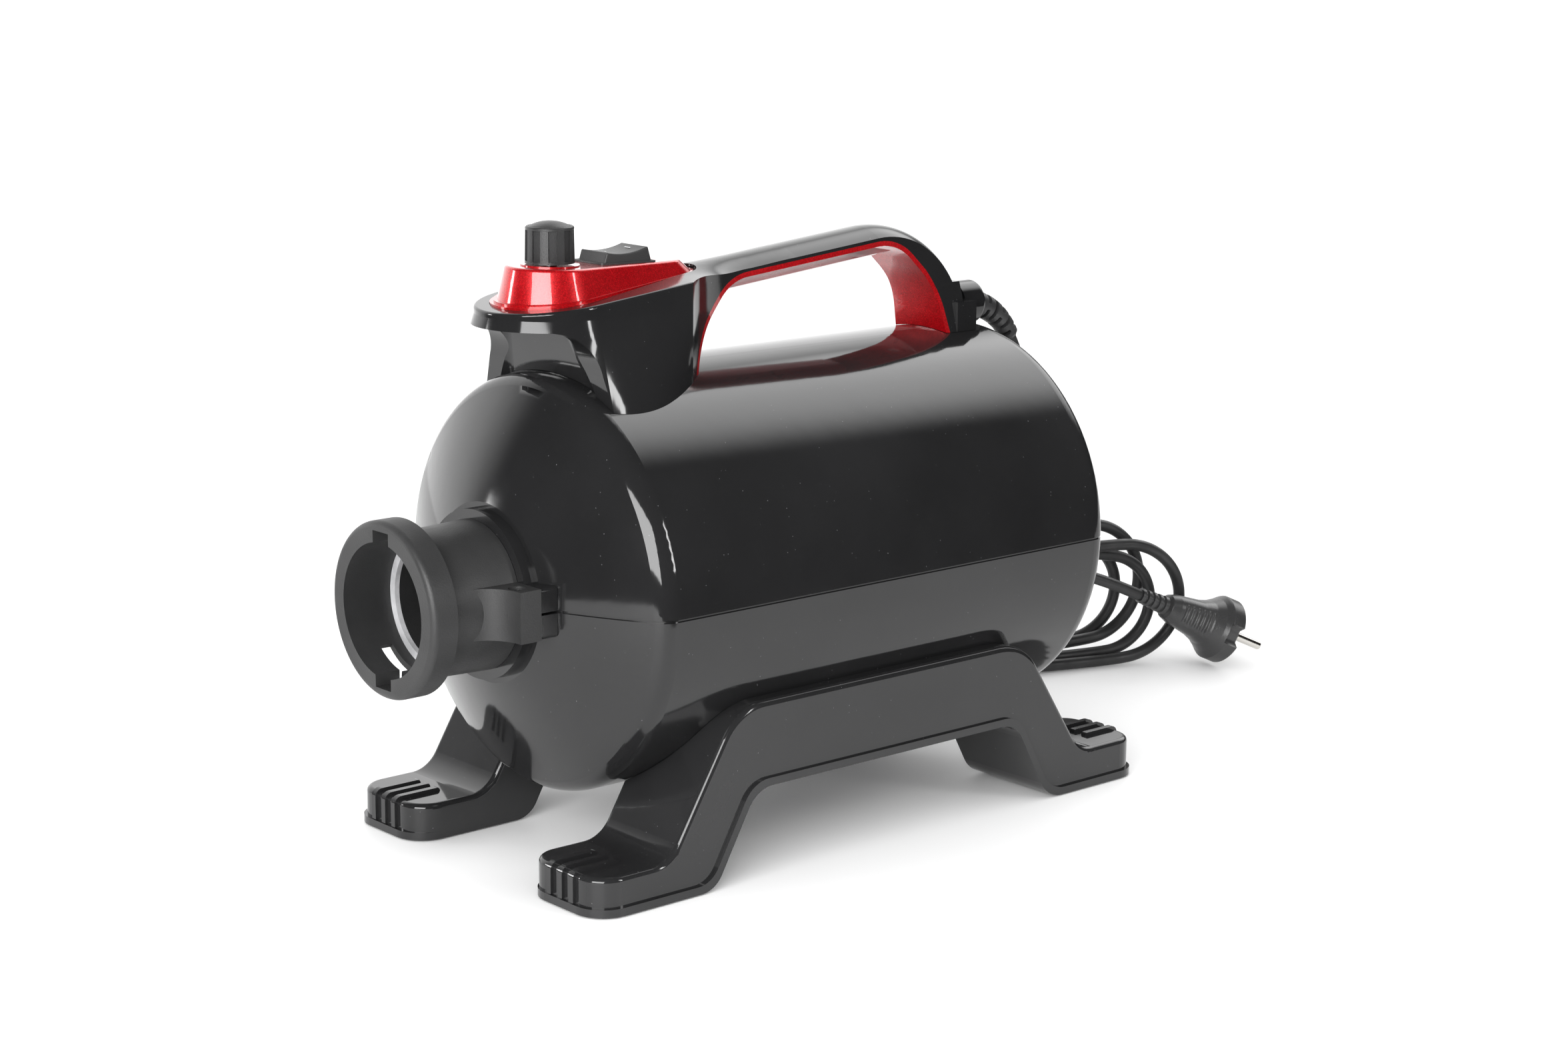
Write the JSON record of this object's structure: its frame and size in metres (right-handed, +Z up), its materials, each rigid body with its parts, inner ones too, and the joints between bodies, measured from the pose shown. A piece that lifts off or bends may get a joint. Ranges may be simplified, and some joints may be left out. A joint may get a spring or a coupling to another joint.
{
  "type": "pet dryer",
  "caption": "Round canister pet dryer on two leg rails, with a hose coupling, a control pod with knob and rocker, a carrying handle and a power cord.",
  "frame": {"origin": "on the floor, under the middle of the dryer without its cord", "axes": "+Z up, -Y towards the hose coupling, +Y towards the air intake and the cord"},
  "size_m": [0.2128, 0.6101, 0.2904],
  "materials": {
    "shell_gloss": "high-gloss black moulded shell",
    "rail_gloss": "gloss black moulded rail",
    "pod_gloss": "gloss black moulded pod and handle",
    "collar_matte": "satin dark grey moulding",
    "red_metallic": "metallic red lacquer over plastic",
    "knob_grey": "satin dark grey, fluted",
    "rocker_black": "satin black switch",
    "seal_grey": "light grey seal",
    "duct_dark": "dark moulded duct",
    "rubber_dark": "moulded rubber",
    "cord_black": "satin black cord jacket",
    "plug_black": "satin black moulded plug",
    "pin_nickel": "nickel-plated pins",
    "screw_steel": "zinc-plated screws",
    "steel": "turned steel",
    "motor_steel": "pressed motor can",
    "copper": "copper windings",
    "fan_alloy": "pressed fan wheel",
    "housing_grey": "inner moulding",
    "foam_grey": "open-cell foam",
    "board_green": "circuit board",
    "cover_black": "satin black intake cover"
  },
  "bodies": {
    "housing": {"upper_shell": "shell_gloss", "lower_shell": "shell_gloss", "shell_screws": "screw_steel", "hose_collar": "collar_matte", "collar_screws": "screw_steel", "outlet_seal": "seal_grey", "outlet_duct": "duct_dark", "left_leg_rail": "rail_gloss", "right_leg_rail": "rail_gloss", "foot_pads": "rubber_dark", "rail_screws": "screw_steel", "control_pod": "pod_gloss", "handle_liner": "red_metallic", "control_panel": "red_metallic", "switch_body": "rocker_black", "speed_potentiometer": "housing_grey", "speed_control_board": "board_green", "pod_screws": "screw_steel", "cord_gland": "pod_gloss", "strain_relief": "cord_black", "power_cord": "cord_black", "cord_hank": "cord_black", "plug_lead": "cord_black", "plug_body": "plug_black", "plug_pins": "pin_nickel", "motor_can": "motor_steel", "motor_bearings": "steel", "field_coils": "copper", "brush_holders": "copper", "fan_housing": "housing_grey", "front_motor_mount": "rubber_dark", "rear_motor_mount": "rubber_dark", "noise_foam": "foam_grey", "intake_grille": "housing_grey"},
    "rotor": {"rotor_shaft": "steel", "armature": "copper", "impeller": "fan_alloy"},
    "knob": {"speed_knob": "knob_grey", "knob_shaft": "steel"},
    "rocker": {"switch_rocker": "rocker_black"},
    "cover": {"filter_cover": "cover_black", "filter_foam": "foam_grey"}
  },
  "joints": [
    {"name": "motor_spin", "type": "hinge", "parent": "housing", "child": "rotor", "pos_m": [0, 0, 0.127], "axis": [0, 1, 0], "continuous": true},
    {"name": "knob_turn", "type": "hinge", "parent": "housing", "child": "knob", "pos_m": [0, -0.1024, 0.26], "axis": [0, 0, 1], "range_deg": [-135, 135]},
    {"name": "rocker_tilt", "type": "hinge", "parent": "housing", "child": "rocker", "pos_m": [0, -0.066, 0.266], "axis": [1, 0, 0], "range_deg": [-8, 0]},
    {"name": "cover_twist", "type": "hinge", "parent": "housing", "child": "cover", "pos_m": [0, 0.17, 0.127], "axis": [0, 1, 0], "range_deg": [0, 30]}
  ]
}
